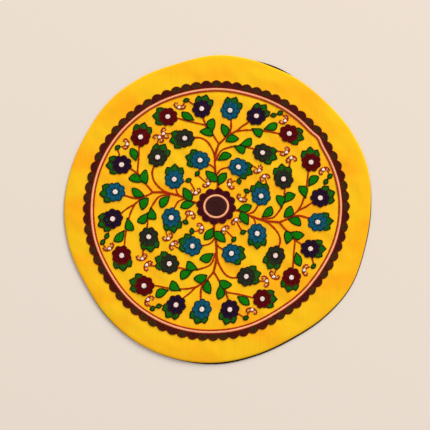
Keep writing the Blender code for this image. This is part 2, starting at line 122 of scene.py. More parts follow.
# Where the rosette is centred. The pattern's middle slides from there to the cover's own near the ring.
ROSETTE_CENTRE = np.array((-1.7, 4.3))
RING_RADIUS = 160.5
RING_MIDDLE = np.array((0.2, -0.7))
FIRST_BRANCH_ANGLE = 8.0
BRANCH_COUNT = 4

# The scallops: how many, where the first starts, how far in and out they reach, how deep and how round their bows are,
# how far in each row lies, how many of these are dark red edge rows, and the threads of the others in turn
Scallops = namedtuple("Scallops", "count start inner outer depth fullness insets edge_rows threads")
RING_THREADS = ("plum", "plum", "moss", "moss", "moss", "plum", "moss")
RING_SCALLOPS = Scallops(77, 1.9, 2.0, 7.9, 3.7, 0.8, (0.6, 1.3, 2.5), 2, RING_THREADS)
ROSETTE_SCALLOPS = Scallops(12, -7.0, 16.6, 22.1, 3.4, 0.9, (0.6, 1.9, 3.2), 1, ("wine",))
# Rows beside the ring's line: thread, how far out, width. Padding under them: thread, from, to, how much higher.
RING_ROWS = (("peach", 0.7, 0.9), ("peach", -0.4, 0.9), ("red", -2.35, 1.35), ("red", 1.75, 0.9))
RING_ROWS += (("scallop_edge", 2.65, 1.2),)
RING_STRIPS = (("peach", -1.15, 1.45, 0.3), ("red", -3.5, -0.9, -0.2), ("scallop_edge", 1.2, 4.6, -0.1))
ROSETTE_MIDDLE = ROSETTE_CENTRE + (0.15, -0.25)
ROSETTE_STRETCH = np.array((1.035, 0.955))
# Rounds of the rosette: thread, radius, width, how much higher. Padding: thread, radius, from, to, how much higher.
ROSETTE_ROWS = (("peach", 15.5, 1.05, 0.08), ("peach", 14.5, 1.05, 0.08))
ROSETTE_ROWS += (("scallop_edge", 16.9, 0.9, -0.1), ("scallop_edge", 13.1, 0.9, -0.1))
ROSETTE_DISC = 12.4
ROSETTE_STRIPS = (("scallop_edge", ROSETTE_DISC, -0.3, 1.2, 0.0), ("peach", 14.5, -0.9, 1.9, 0.3))
ROSETTE_STRIPS += (("scallop_edge", 16.9, -0.8, 1.2, 0.0),)

# One branch, drawn upright: x runs to its right, y out from the middle of the cover. Every second branch is the
# mirror image of the first. For each flower: its thread, its middle, and the direction of its sepals from straight out.
FLOWERS = (
    ("blue", (0.0, 132.5), 15),
    ("purple", (-37.0, 129.0), 10),
    ("purple", (33.5, 131.0), 32),
    ("maroon", (-77.5, 110.0), -95),
    ("maroon", (78.5, 113.0), 104),
    ("dark_green", (-53.0, 85.0), -110),
    ("dark_green", (50.0, 81.5), 106),
    ("blue", (-28.0, 58.5), -83),
    ("blue", (22.0, 55.5), 108),
)
# Hand work drifts from the regular repeat. For each branch, how far its flowers lie to the right, and how far out.
DRIFT = np.array(
    (
        ((-1.3, -1.8, 1.2, -3.9, 1.8, -1.6, -0.5, -2.2, -0.9), (-0.3, -0.3, -1.4, 1.2, -1.5, 0.2, -1.0, 0.0, 1.2)),
        ((1.3, 2.0, -0.9, 0.3, -1.3, 1.5, -0.6, 1.4, 0.7), (0.0, 1.2, -0.7, 1.8, -0.4, 1.2, -0.8, -0.6, -0.1)),
        ((1.5, 2.2, 2.0, 0.7, 1.0, 1.8, 0.9, 0.3, 2.0), (-0.7, -0.2, -1.0, 1.2, -2.1, -0.5, -1.7, -1.3, -1.3)),
        ((-3.6, -2.2, -2.3, -1.2, -2.1, -1.9, -1.1, -0.6, -0.7), (-0.1, 0.5, -0.4, 1.6, 0.3, 0.4, 0.4, 1.1, 0.7)),
    )
)
DRIFT = DRIFT.transpose(0, 2, 1).copy()
FLOWER_SEED = 3
FLOWER_TURN = 9.0
FLOWER_STRETCH = (1.0, 1.08)
DRIFT_REACH = 18.0
DRIFT_FADE = 0.05
FLOWER_EDGES = {"blue": "ink", "purple": "outline", "maroon": "maroon_edge", "dark_green": "outline"}
PETAL_COUNT = 8
PETAL_TIP = 12.6
PETAL_NOTCH = 10.3
PETAL_FULLNESS = 0.75
PETAL_STEP = 4.0
CENTRE_PAD_RADIUS = 3.4
CENTRE_ROWS = (2.3, 0.95)
CENTRE_RIM = 4.0
CENTRE_RIM_WIDTH = 0.85
# The line between two petals: where it starts and ends, and how many points it has
NOTCH_LINE = (CENTRE_RIM + 1.6, PETAL_NOTCH - 0.9, 5)
# Each sepal: its direction and how far out its tip is. The middle one comes last and lies on the others.
SEPALS = ((-34, 18.4), (34, 18.4), (0, 20.0))
SEPAL_BASE = 4.0
SEPAL_WIDTH = 10.6
SEPAL_FULLEST = 0.58

# Each leaf: its base, its tip and its width, which side bulges (the right one, or with a minus the left), and how far
# along it is widest
LEAVES = (
    ((-3.2, 33.0), (-18.3, 44.8), 11.0, 0.1, 0.42),
    ((-0.4, 28.8), (7.6, 45.2), 10.4, -0.4, 0.55),
    ((-4.9, 61.6), (10.8, 70.4), 10.8, -0.85, 0.56),
    ((18.8, 86.2), (32.2, 98.8), 10.6, 1.1, 0.62),
    ((11.8, 83.6), (26.2, 75.2), 11.2, -1.2, 0.62),
    ((-19.4, 98.6), (-19.8, 117.6), 11.2, -0.9, 0.58),
    ((-17.8, 94.4), (-35.0, 97.4), 11.0, 1.0, 0.42),
    ((-45.0, 111.6), (-60.8, 119.7), 10.2, -0.35, 0.56),
    ((-1.9, 95.0), (-8.0, 111.8), 10.4, 1.0, 0.52),
    ((0.2, 89.3), (16.2, 95.0), 11.0, -0.85, 0.5),
    ((30.3, 112.5), (43.6, 101.9), 11.0, -1.15, 0.6),
    ((46.2, 114.0), (61.2, 124.8), 10.4, 0.7, 0.6),
)
LEAF_FULLNESS = 0.8
LEAF_STEPS = 26
# Small leaves of the curls: their middle and their direction
TINY_LEAVES = (((-29.0, 40.0), 30), ((25.5, 36.5), -20), ((-59.0, 137.5), 60), ((55.5, 135.0), 70), ((63.5, 139.0), 60))
TINY_LEAF_LENGTH = 7.6
TINY_LEAF_WIDTH = 5.6

# Stems: how thick each is, and a few points that it runs through
STEMS = (
    (1.35, ((-1.0, 25.0), (-3.0, 37.0), (-6.0, 44.0), (-8.5, 57.0), (-9.5, 69.0), (-8.0, 84.0))),
    (1.15, ((-8.0, 84.0), (-2.5, 92.0), (2.5, 100.0), (4.5, 108.0), (3.0, 121.0))),
    (1.0, ((2.5, 99.0), (11.0, 105.0), (18.0, 114.0), (25.0, 121.0))),
    (1.0, ((10.0, 104.5), (24.0, 109.5), (46.0, 111.5), (67.0, 111.0))),
    (1.1, ((-8.0, 84.0), (-15.0, 92.0), (-22.0, 101.0), (-30.0, 107.5))),
    (1.0, ((-28.0, 106.0), (-33.5, 117.0))),
    (1.0, ((-30.0, 107.5), (-46.0, 108.5), (-66.0, 110.0))),
    (1.1, ((-9.5, 64.0), (-13.0, 73.0), (-22.0, 84.0), (-32.0, 88.5), (-42.0, 87.5))),
    (1.0, ((-7.5, 61.0), (-4.0, 74.0), (4.0, 80.0), (18.0, 85.0), (39.0, 85.0))),
    (1.0, ((-6.5, 47.0), (-10.5, 52.0), (-17.0, 55.0))),
    (1.0, ((-4.0, 42.5), (0.5, 49.5), (11.0, 54.0))),
)

# Buds: where the knot is, which way its hooks open, and the stem that leads to it
BUDS = (
    ((-14.0, 28.5), -65, ((-26.0, 46.5), (-29.0, 40.0), (-26.0, 36.8), (-19.6, 31.9), (-15.6, 29.7))),
    ((13.5, 30.5), 65, ((26.0, 44.0), (25.5, 36.5), (19.6, 36.0), (15.2, 32.2))),
    ((-80.5, 86.5), 65, ((-66.0, 88.0), (-72.7, 87.9), (-78.6, 86.9))),
    ((79.0, 86.5), -65, ((62.0, 84.0), (68.6, 86.3), (77.0, 86.6))),
    ((49.0, 56.0), -55, ((33.0, 59.0), (40.8, 60.1), (47.4, 57.0))),
    ((-65.5, 125.5), 5, ((-49.8, 133.7), (-59.0, 137.5), (-61.3, 130.7), (-64.4, 127.0))),
    ((71.0, 129.5), -55, ((46.0, 133.0), (56.0, 135.0), (63.5, 139.0), (68.3, 136.4), (72.3, 133.5), (71.6, 131.2))),
)
# A bud's hook from the knot round to its tip: towards its opening, and to the side. The lining runs inside it.
HOOK = ((-1.6, 0.4), (-1.5, 2.6), (-0.7, 4.6), (1.0, 6.2), (3.1, 6.6), (4.6, 5.6), (4.3, 4.3))
HOOK_LINING = ((1.5, 4.7), (2.4, 5.1), (3.4, 4.9))
HOOK_ROWS = (("bud_edge", HOOK, 1.15), ("peach", HOOK_LINING, 0.65))
BUD_STEM_WIDTH = 0.9
KNOT_PAD_RADIUS = 2.0

# The padding's height over the cloth, how far its sides lean in, the least share of a pad that its top keeps, how deep
# it is sunk and its step, and then how high the rows lie
PAD_HEIGHT = 0.38
PAD_SLOPE = 0.5
SMALLEST_TOP = 0.3
PAD_SUNK = 0.35
PAD_STEP = 1.6
LOW_ROWS = 0.5
HIGH_ROWS = 0.66
TOP_ROWS = 0.82
# Rounds of a bud's knot: thread, radius, height, width
KNOT_ROWS = (("bud_edge", 2.55, LOW_ROWS - 0.2, 0.8), ("cream", 1.1, HIGH_ROWS, 1.25))
# What lies higher or lower than the usual padding and rows, and the finer steps of small padding
SEPAL_PADS_LOWER = 0.1
NEXT_SEPAL_HIGHER = 0.05
PETAL_PADS_HIGHER = 0.1
CENTRE_PADS_HIGHER = 0.5
CENTRE_PAD_STEP = 1.2
CENTRE_ROWS_HIGHER = 0.1
STEM_ROWS_LOWER = 0.3
STEM_PADS_LOWER = 0.15
KNOT_PADS_HIGHER = 0.3
KNOT_PAD_STEP = 0.9
# How far in the first row of each shape lies, how many rows there are at most, and how wide the rows are
DISC_INSET = 0.72
SMALLEST_ROUND = 0.6
SCALLOP_CORE = 1.4
LEAF_INSET = 0.2
LEAF_ROWS = 4
LEAF_EDGE_WIDTH = 1.2
SEPAL_EDGE_WIDTH = 1.4
PETAL_INSET = 0.45
PETAL_ROWS = 5
PETAL_EDGE_WIDTH = 1.15
STEM_FULLNESS = 1.7
STEM_PAD_WIDTH = 1.8
STEM_SLOPE = 0.2
# A point of an inset row stays if it lies so near the full depth from every side, and a row if it keeps enough points
INSET_TOLERANCE = 0.96
FEWEST_POINTS = 6
# How far one shape runs in under another
SEPALS_UNDER_PETALS = 0.6
SEPAL_OVERLAP = 0.3
STEMS_UNDER_PETALS = 0.9
STEMS_UNDER_LEAVES = 0.5
# Steps along lines in millimetres, points on a scallop's bow, and steps around the ring in degrees
FINE_STEP = 0.7
BOW_POINTS = 17
RING_PAD_STEP = 1.5
RING_ROW_STEP = 0.5
# How much longer a chain link is than the step from one to the next, and the node tree's inputs that are settings
LINK_OVERLAP = 1.12
SIZE_SOCKETS = ("Stitch length", "Stitch width", "Stitch height", "Unevenness")
# The weave in millimetres, and how many times a wave texture repeats at a scale of one. Real threads lie 0.3 mm apart,
# which is too fine to show, so these are drawn coarser.
WEAVE_PITCH = 0.7
WEAVE_DEPTH = 0.12
WAVE_REPEAT = 3.2

# Colours on screen, as the photo shows them
CLOTH_YELLOW = "#FCC214"
# The orange is painted shade: patches on the front that stand in for the shade of its soft puckers
CLOTH_PAINTED_SHADE_ORANGE = "#FFB010"
CLOTH_BLACK = "#22160A"
THREAD_COLOURS = dict(
    blue="#10637F", purple="#221035", maroon="#6A0006", dark_green="#2A3726", leaf="#108806", sepal="#176E14",
    ink="#0C3440", outline="#3A0E0A", maroon_edge="#560A08", leaf_edge="#1E2204", scallop_edge="#5E1206",
    stem="#AC2E02", bud_edge="#9C2802", red="#B83404", peach="#FFB688", cream="#FFE9E1",
    plum="#4C1D16", moss="#3C3818", brown="#46201E", wine="#460A20",
)
PALE_THREADS = ("peach", "cream")
# How much lighter and darker the threads come out, and how much darker the padding between them is painted, as shade
# between the stitches
PALE_THREADS_VARY = 0.05
OTHER_THREADS_VARY = 0.2
PADDING_PAINTED_SHADE = 0.75
FLOOR_COLOUR = "#EADDD0"
FLOOR_REACH = 12.0
SKY_COLOUR = (1.0, 0.99, 0.975)
SKY_STRENGTH = 0.56
LAMP_COLOUR = (1.0, 0.98, 0.965)
LAMP_SIZE = 5.0
LAMP_ENERGY = 1705.0
LAMP_PLACE = (4.6, 9.9, 4.6)

# The photo's frame: how many millimetres one of its pixels covers, its middle, and the cover's middle in it
FRAME_PIXELS = 430
PIXEL_SIZE = 400 / 306
COVER_PIXEL = (217.35, 209.4)
CAMERA_HEIGHT = 1.2
FACE_HEIGHT = 0.0037
SENSOR_WIDTH = 36.0


def linear(value):
    """One screen value from 0 to 1 as a linear one."""
    return value / 12.92 if value <= 0.04045 else ((value + 0.055) / 1.055) ** 2.4


def linear_colour(code):
    """A colour written as on screen, such as #FFAA00, in linear values."""
    return tuple(linear(int(code[first : first + 2], 16) / 255) for first in (1, 3, 5))


def length_setting(name, millimetres, description):
    size = millimetres * MM
    return FloatProperty(
        name=name, description=description, default=size, min=0.0, precision=5, unit="LENGTH", subtype="DISTANCE"
    )


def colour_setting(name, code, description):
    shade = linear_colour(code)
    return FloatVectorProperty(
        name=name, description=description, default=shade, min=0.0, max=1.0, size=3, subtype="COLOR"
    )


class CoverSizes(bpy.types.PropertyGroup):
    """Sizes of the cover that a maker would change."""

    row_pitch: length_setting("Row pitch", 1.42, "Distance between two rows of thread")
    stitch_length: length_setting("Stitch length", 2.3, "Length of one chain stitch")
    stitch_width: length_setting("Stitch width", 1.55, "Width of one chain stitch")
    stitch_height: length_setting("Stitch height", 0.66, "Thickness of the thread in a stitch")
    ripple_height: length_setting("Ripple height", 0.28, "How high the cloth ripples between the thread work")
    unevenness: FloatProperty(
        name="Unevenness", description="How much the stitches differ", default=0.14, min=0.0, max=0.5, subtype="FACTOR"
    )
    seed: IntProperty(name="Seed", description="Picks how the stitches differ", default=5, min=0)


class CoverColours(bpy.types.PropertyGroup):
    """Colours of the two cloths."""

    front: colour_setting("Front", CLOTH_YELLOW, "The front's yellow")
    # Painted shade: the orange of the patches that stand in for the shade of the cloth's puckers
    front_warm: colour_setting("Front, warm patches", CLOTH_PAINTED_SHADE_ORANGE, "The yellow where its dye is stronger")
    back: colour_setting("Back", CLOTH_BLACK, "The back's near-black")


def direction(angle):
    """A step of one millimetre at an angle, clockwise from the top."""
    turn = np.radians(angle)
    return np.stack((np.sin(turn), np.cos(turn)), axis=-1)


def angle_of(points):
    """The angles at which points lie, clockwise from the top."""
    return np.degrees(np.arctan2(points[..., 0], points[..., 1])) % FULL_TURN


def smooth(before, start, end, after, share):
    """The place a share of the way from start to end, on a smooth curve through all four."""
    slope_in, slope_out, rise = (end - before) / 2, (after - start) / 2, end - start
    bend = 3 * rise - 2 * slope_in - slope_out + share * (slope_in + slope_out - 2 * rise)
    return start + share * (slope_in + share * bend)


def edge_value(angle, column):
    """One column of the edge table at any angle, with its creases."""
    angle = np.asarray(angle, float) % FULL_TURN
    place = angle * len(EDGE) / FULL_TURN
    row = np.floor(place).astype(int)
    value = smooth(*(EDGE[(row + offset) % len(EDGE), column] for offset in (-1, 0, 1, 2)), place - row)
    for creased, middle, width, rise in CREASES:
        if creased == column:
            apart = (angle - middle) / width
            value = value + rise * np.exp(-apart * apart)
    return value


def radius_from(*columns):
    """A function that adds up columns of the edge table at any angle."""
    return lambda angle: sum(edge_value(angle, column) for column in columns)


front_radius = radius_from(RADIUS)
back_radius = radius_from(RADIUS, SHOWS)
ring_radius = radius_from(RING)
ring_line = radius_from(RING, STRAY)


def middle_of_box():
    """The middle of the box around both cloths, which is the model's origin."""
    angles = np.arange(RIM_POINTS) * FULL_TURN / RIM_POINTS
    points = np.concatenate([direction(angles) * radius(angles)[:, None] for radius in (front_radius, back_radius)])
    return (points.min(0) + points.max(0)) / 2


SHIFT = middle_of_box()


def ripple_waves():
    """The waves that make the cloth's ripples: their directions and lengths as wave numbers, and their phases."""
    random = np.random.RandomState(RIPPLE_SEED)
    lengths = random.uniform(RIPPLE_SHORTEST, RIPPLE_LONGEST, RIPPLE_WAVES)
    turns = direction(random.uniform(0, FULL_TURN, RIPPLE_WAVES))
    return turns * (2 * np.pi / lengths)[:, None], random.uniform(0, 2 * np.pi, RIPPLE_WAVES)


WAVES, PHASES = ripple_waves()


def cloth_height(points, ripple):
    """The height of the front's face: a low crown with the border's puckers and small ripples."""
    angle = angle_of(points)
    reach = np.hypot(points[..., 0], points[..., 1])
    share = np.minimum(reach / front_radius(angle), 1.0)
    height = CROWN_HEIGHT * (1 - share**CROWN_POWER)
    level = 1 - share**PUCKER_POWER
    for middle, radius, length, width, rise in PUCKERS:
        along = np.radians((angle - middle + FULL_TURN / 2) % FULL_TURN - FULL_TURN / 2) * radius / length
        across = (reach - radius) / width
        height = height + rise * np.exp(-along * along - across * across) * level
    waves = np.sin(points @ WAVES.T + PHASES).sum(-1) / math.sqrt(RIPPLE_WAVES)
    return BACK_THICKNESS + LAYER_GAP + FRONT_THICKNESS + height + ripple * waves * level


def place_on_cover(points, lift):
    """Points of the layout in metres in the model's frame, so high over the cloth."""
    return np.column_stack((points - SHIFT, cloth_height(points, ripple_mm()) + lift)) * MM


def drift(branch, points):
    """How far one branch's drawing has drifted at some points, as the flowers near them have."""
    middles = np.array([middle for _, middle, _ in FLOWERS])
    apart = np.hypot(*np.moveaxis(points[..., None, :] - middles, -1, 0)) / DRIFT_REACH
    weights = np.exp(-apart * apart)
    return weights @ DRIFT[branch] / (weights.sum(-1) + DRIFT_FADE)[..., None]


def placed(branch, points):
    """Points of one branch as they lie on the cover, where the pattern follows the ring's uneven line."""
    turn = FIRST_BRANCH_ANGLE + FULL_TURN * branch / BRANCH_COUNT
    side = -1 if branch % 2 else 1
    points = np.asarray(points, float)
    points = points + drift(branch, points)
    step = points[..., 1:] * direction(turn) + points[..., :1] * direction(turn + FULL_TURN / 4) * side
    share = np.minimum(np.hypot(step[..., 0], step[..., 1]) / RING_RADIUS, 1.0)
    stretch = 1 + share * (ring_radius(angle_of(step)) / RING_RADIUS - 1)
    return ROSETTE_CENTRE * (1 - share)[..., None] + step * stretch[..., None]


def turned(points, angle):
    """Points turned clockwise about zero."""
    turn = math.radians(angle)
    x, y = np.asarray(points, float).T
    return np.column_stack((x * math.cos(turn) + y * math.sin(turn), y * math.cos(turn) - x * math.sin(turn)))


def along_curve(points, step=FINE_STEP):
    """Points at even steps along a smooth curve through the given ones."""
    points = np.asarray(points, float)
    ends = np.vstack((2 * points[0] - points[1], points, 2 * points[-1] - points[-2]))
    walked = []
    for before, start, end, after in zip(ends, ends[1:], ends[2:], ends[3:]):
        count = max(1, round(float(np.hypot(*(end - start))) / step))
        walked.append(smooth(before, start, end, after, (np.arange(count) / count)[:, None]))
    return np.vstack((*walked, points[-1:]))


def even_loop(points, step=FINE_STEP):
    """A closed line again, with points at even steps."""
    closed = np.vstack((points, points[:1]))
    run = np.concatenate(((0,), np.cumsum(np.hypot(*np.diff(closed, axis=0).T))))
    count = max(8, round(run[-1] / step))
    at = np.arange(count) * run[-1] / count
    return np.column_stack([np.interp(at, run, closed[:, axis]) for axis in (0, 1)])


def leftwards(line, closed=True):
    """The direction to a line's left, at each of its points."""
    run = np.roll(line, -1, axis=0) - np.roll(line, 1, axis=0) if closed else np.gradient(line, axis=0)
    return np.column_stack((-run[:, 1], run[:, 0])) / np.maximum(np.hypot(*run.T), 1e-6)[:, None]


def runs_anticlockwise(outline):
    """Whether a closed line runs anticlockwise, by the sign of its area."""
    after = np.roll(outline, -1, axis=0)
    return (outline[:, 0] * after[:, 1] - outline[:, 1] * after[:, 0]).sum() > 0


def inset_loop(outline, depth):
    """The closed line that lies a depth inside an outline, left out where the shape is too narrow for it."""
    moved = outline + leftwards(outline) * depth * (1 if runs_anticlockwise(outline) else -1)
    apart = np.hypot(*(moved[:, None, :] - outline[None, :, :]).transpose(2, 0, 1)).min(1)
    return moved[apart > depth * INSET_TOLERANCE]


def inside(points, outline):
    """Which points lie inside a closed outline."""
    x, y = points[:, 0:1], points[:, 1:2]
    x0, y0 = outline.T
    x1, y1 = np.roll(outline, -1, axis=0).T
    crosses = (y0 > y) != (y1 > y)
    slope = np.where(y1 == y0, 1e-9, y1 - y0)
    return (crosses & (x < (x1 - x0) * (y - y0) / slope + x0)).sum(1) % 2 == 1


def open_runs(points, covers):
    """The stretches of a line that none of the outlines covers."""
    hidden = np.any([inside(points, outline) for outline in covers], axis=0)
    runs = [[]]
    for point, out_of_sight in zip(points, hidden):
        if out_of_sight:
            runs.append([])
        else:
            runs[-1].append(point)
    return [np.array(run) for run in runs if len(run) > 2]


def leaf_outline(base, tip, width, belly=0.0, fullest=0.5, fullness=LEAF_FULLNESS):
    """Points around a leaf, from its base round its tip and back."""
    base, tip = np.asarray(base, float), np.asarray(tip, float)
    run = tip - base
    across = np.array((run[1], -run[0])) / np.hypot(*run) * width / 2
    along = np.linspace(0, 1, LEAF_STEPS)[:, None]
    half = np.maximum(np.sin(np.pi * along ** (math.log(0.5) / math.log(fullest))), 0.0) ** fullness
    right = base + run * along + across * half * (1 + belly / 2)
    left = base + run * along - across * half * (1 - belly / 2)
    return even_loop(np.vstack((right, left[-2:0:-1])))


def petal_outline():
    """Points around a flower's petals, the first notch at the top."""
    angles = np.arange(0, FULL_TURN, PETAL_STEP)
    bulge = np.abs(np.sin(np.radians(angles) * PETAL_COUNT / 2)) ** PETAL_FULLNESS
    return even_loop(direction(angles) * (PETAL_NOTCH + (PETAL_TIP - PETAL_NOTCH) * bulge)[:, None])


def circle(radius):
    count = max(FEWEST_POINTS, round(2 * math.pi * radius / FINE_STEP))
    return direction(np.arange(count) * FULL_TURN / count) * radius


def rosette_line(radius):
    """A round line of the rosette, which is drawn a little wider than it is tall."""
    return ROSETTE_MIDDLE + circle(radius) * ROSETTE_STRETCH


def add_node(tree, kind, inputs, output=0, **settings):
    """Adds a node with its settings and its inputs' values or links, and gives one of its outputs."""
    node = tree.nodes.new(kind)
    for name, value in settings.items():
        setattr(node, name, value)
    for key, value in inputs.items():
        if isinstance(value, bpy.types.NodeSocket):
            tree.links.new(value, node.inputs[key])
        else:
            node.inputs[key].default_value = value
    return node.outputs[output]


def new_material(name, roughness, sheen, specular):
    """A material without its colour yet: also its node tree, its shader's inputs and the object's coordinates."""
    material = bpy.data.materials.new(name)
    material.use_nodes = True
    tree = material.node_tree
    shader = tree.nodes["Principled BSDF"].inputs
    shader["Roughness"].default_value = roughness
    shader["Sheen Weight"].default_value = sheen
    shader["Sheen Roughness"].default_value = 0.5
    shader["Specular IOR Level"].default_value = specular
    return material, tree, shader, add_node(tree, "ShaderNodeTexCoord", {}, "Object")


def object_noise(tree, place, size_mm, detail, stretch=(1.0, 1.0, 1.0)):
    """Noise whose grains are about so many millimetres across, and longer where it is stretched."""
    scale = tuple(1 / part for part in stretch)
    scaled = add_node(tree, "ShaderNodeMapping", {"Vector": place, "Scale": scale}, "Vector")
    inputs = {"Vector": scaled, "Scale": 1 / (size_mm * MM), "Detail": detail}
    return add_node(tree, "ShaderNodeTexNoise", inputs, "Fac")


def spread(tree, value, low, high, out_low, out_high):
    """Stretches the values from low to high over another range."""
    inputs = {"Value": value, "From Min": low, "From Max": high, "To Min": out_low, "To Max": out_high}
    return add_node(tree, "ShaderNodeMapRange", inputs, "Result")


def calculated(tree, operation, first, second):
    return add_node(tree, "ShaderNodeMath", {0: first, 1: second}, operation=operation)


def mixed(tree, factor, *colours, blend="MIX"):
    """Mixes two colours, each a colour or a node's output."""
    first, second = (part if isinstance(part, bpy.types.NodeSocket) else (*part, 1.0) for part in colours)
    return add_node(tree, "ShaderNodeMix", {0: factor, 6: first, 7: second}, 2, data_type="RGBA", blend_type=blend)


def cotton(dye, roughness):
    """Plain-woven dyed cotton without its colour yet: a matt cloth whose crossing threads catch the light."""
    name = f"plain-woven dyed cotton, {dye}"
    material, tree, shader, place = new_material(name, roughness, sheen=0.02, specular=0.1)
    inputs = {"Vector": place, "Scale": 1 / (WEAVE_PITCH * MM) / WAVE_REPEAT, "Distortion": 0.6, "Detail": 1.0}
    threads = [add_node(tree, "ShaderNodeTexWave", inputs, "Fac", bands_direction=axis) for axis in "XY"]
    inputs = {"Strength": 0.35, "Distance": WEAVE_DEPTH * MM, "Height": calculated(tree, "ADD", *threads)}
    tree.links.new(add_node(tree, "ShaderNodeBump", inputs, "Normal"), shader["Normal"])
    return material, tree, shader, place


def cotton_front():
    """Yellow cotton: a matt face with slightly thicker threads here and there, and orange patches painted in as the
    shade of soft puckers.
    """
    colours = bpy.context.scene.cover_colours
    material, tree, shader, place = cotton("yellow", roughness=0.88)
    # Orange patches painted at random over the face, as painted shade of soft puckers
    patches = spread(tree, object_noise(tree, place, 46, 1.5, (1.6, 0.8, 1.0)), 0.42, 0.66, 0.0, 1.0)
    dyed = mixed(tree, patches, colours.front, colours.front_warm)
    slubs = spread(tree, object_noise(tree, place, 3.0, 2.0, (1.0, 14.0, 1.0)), 0.3, 0.7, 0.965, 1.02)
    slub_colour = add_node(tree, "ShaderNodeCombineColor", {0: slubs, 1: slubs, 2: slubs}, "Color")
    tree.links.new(mixed(tree, 1.0, dyed, slub_colour, blend="MULTIPLY"), shader["Base Color"])
    return material


def cotton_back():
    """The same cotton dyed near-black: it shows only as a dark line, and from below."""
    dye = bpy.context.scene.cover_colours.back
    material, tree, shader, place = cotton("near-black", roughness=0.9)
    wear = spread(tree, object_noise(tree, place, 18, 3.0), 0.3, 0.7, 0.0, 0.35)
    worn = tuple(min(1.0, value * 1.6) for value in dye)
    tree.links.new(mixed(tree, wear, dye, worn), shader["Base Color"])
    return material


def thread_material(thread, padding=False):
    """Mercerised cotton thread: smooth twisted strands with a soft gloss, each stitch a little lighter or darker;
    padding under dark threads is painted darker as shade between the stitches.
    """
    name = f"mercerised cotton thread, {thread.replace('_', ' ')}" + (" padding" if padding else "")
    if name in bpy.data.materials:
        return bpy.data.materials[name]
    material, tree, shader, place = new_material(name, roughness=0.7, sheen=0.01, specular=0.07)
    base = linear_colour(THREAD_COLOURS[thread])
    pale = thread in PALE_THREADS
    # Padding under dark threads is painted darker, as the shade between the stitches
    depth = PADDING_PAINTED_SHADE if padding and not pale else 1.0
    uneven = PALE_THREADS_VARY if pale else OTHER_THREADS_VARY
    dark, light = (tuple(min(1.0, value * (1 + part) * depth) for value in base) for part in (-uneven, uneven))
    shade = spread(tree, object_noise(tree, place, 2.2, 1.0), 0.32, 0.68, 0.0, 1.0)
    tree.links.new(mixed(tree, shade, dark, light), shader["Base Color"])
    inputs = {"Strength": 0.3, "Distance": 0.1 * MM, "Height": object_noise(tree, place, 0.35, 2.0)}
    tree.links.new(add_node(tree, "ShaderNodeBump", inputs, "Normal"), shader["Normal"])
    return material


def link_object(name, data):
    piece = bpy.data.objects.new(name, data)
    bpy.context.scene.collection.objects.link(piece)
    return piece


def new_mesh(name, points, faces, materials, slots=None):
    """A smooth closed mesh from computed points and faces."""
    mesh = bpy.data.meshes.new(name)
    mesh.from_pydata([tuple(point) for point in points], [], [tuple(face) for face in faces])
    for material in materials:
        mesh.materials.append(material)
    if slots is not None:
        mesh.polygons.foreach_set("material_index", slots)
    mesh.shade_smooth()
    mesh.validate()
    mesh.update()
    return mesh


def round_sheet(radius_at, rings, profile, face_height, floor_height):
    """Points and faces of a closed round sheet: its face out to the turned edge, and its plain underside."""
    angles = np.arange(SPOKES) * FULL_TURN / SPOKES
    spokes = direction(angles)
    edge = radius_at(angles)
    levels = [((edge - profile[0][0]) * (ring / rings), face_height, 0.0) for ring in range(1, rings)]
    levels += [(edge - inset, face_height, drop) for inset, drop in profile]
    levels += [((edge - profile[-1][0]) * share, floor_height, 0.0) for share in UNDERSIDE]
    middle = np.zeros((1, 2))
    points = [np.column_stack((middle, face_height(middle)))]
    for reach, height, drop in levels:
        flat = spokes * reach[:, None]
        points.append(np.column_stack((flat, height(flat) - drop)))
    points.append(np.column_stack((middle, floor_height(middle))))
    stacked = np.vstack(points)
    stacked[:, :2] -= SHIFT
    last = 1 + (len(levels) - 1) * SPOKES
    faces = []
    for spoke in range(SPOKES):
        after = (spoke + 1) % SPOKES
        faces.append((0, 1 + after, 1 + spoke))
        for first in range(1, last, SPOKES):
            second = first + SPOKES
            faces.append((first + spoke, first + after, second + after, second + spoke))
        faces.append((last + spoke, last + after, len(stacked) - 1))
    return stacked * MM, faces


